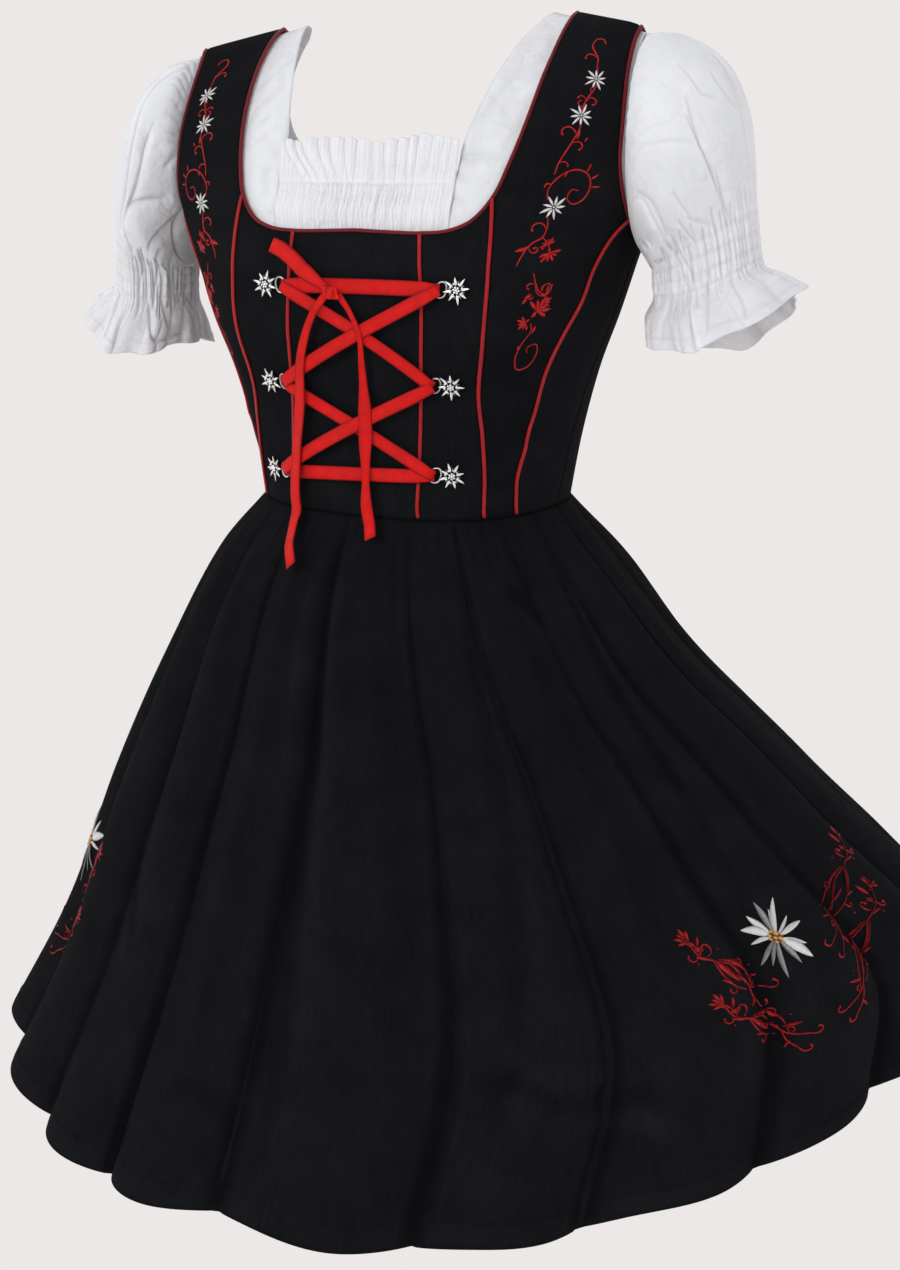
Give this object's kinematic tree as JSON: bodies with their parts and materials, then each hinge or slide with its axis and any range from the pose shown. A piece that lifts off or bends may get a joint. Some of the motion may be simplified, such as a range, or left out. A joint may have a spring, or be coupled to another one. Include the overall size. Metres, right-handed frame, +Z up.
{
  "type": "dirndl dress with blouse",
  "caption": "Black laced dirndl dress with red piping, a full pleated skirt and a short puff-sleeved white blouse, filled out as worn.",
  "frame": {"origin": "middle of the shoulder line, where the wearer's shoulders hold the garment", "axes": "+Z up, the front looks towards -Y, +X towards the garment's left side"},
  "size_m": [0.888, 0.7992, 0.9155],
  "materials": {
    "black_cotton": "matt black cotton, fine plain weave",
    "white_cotton": "thin white cotton, gathered",
    "red_piping": "dark red satin cord piping",
    "red_ribbon": "bright red satin ribbon",
    "antique_silver": "antique silver cast hooks"
  },
  "bodies": {
    "root": {"blouse_back": "white_cotton", "blouse_front": "white_cotton", "blouse_side_front_left": "white_cotton", "blouse_side_front_right": "white_cotton", "blouse_sleeve_left": "white_cotton", "blouse_sleeve_right": "white_cotton", "bodice_back_left": "black_cotton", "bodice_back_right": "black_cotton", "bodice_back_side_left": "black_cotton", "bodice_back_side_right": "black_cotton", "bodice_front_centre": "black_cotton", "bodice_front_left": "black_cotton", "bodice_front_right": "black_cotton", "bodice_side_left": "black_cotton", "bodice_side_right": "black_cotton", "bodice_strap_left": "black_cotton", "bodice_strap_right": "black_cotton", "eye_bottom_left": "antique_silver", "eye_bottom_right": "antique_silver", "eye_middle_left": "antique_silver", "eye_middle_right": "antique_silver", "eye_top_left": "antique_silver", "eye_top_right": "antique_silver", "hook_bottom_left": "antique_silver", "hook_bottom_right": "antique_silver", "hook_middle_left": "antique_silver", "hook_middle_right": "antique_silver", "hook_top_left": "antique_silver", "hook_top_right": "antique_silver", "piping_armhole_left": "red_piping", "piping_armhole_right": "red_piping", "piping_back_left": "red_piping", "piping_back_right": "red_piping", "piping_cup_left": "red_piping", "piping_cup_right": "red_piping", "piping_inner_left": "red_piping", "piping_inner_right": "red_piping", "piping_neckline": "red_piping", "piping_side_front_left": "red_piping", "piping_side_front_right": "red_piping", "ribbon_bar_bottom": "red_ribbon", "ribbon_bar_top": "red_ribbon", "ribbon_bow_loop": "red_ribbon", "ribbon_knot": "red_ribbon", "ribbon_lower_down": "red_ribbon", "ribbon_lower_up": "red_ribbon", "ribbon_tail_left": "red_ribbon", "ribbon_tail_right": "red_ribbon", "ribbon_upper_down": "red_ribbon", "ribbon_upper_up": "red_ribbon", "skirt_back_left": "black_cotton", "skirt_back_right": "black_cotton", "skirt_front": "black_cotton"}
  },
  "joints": []
}
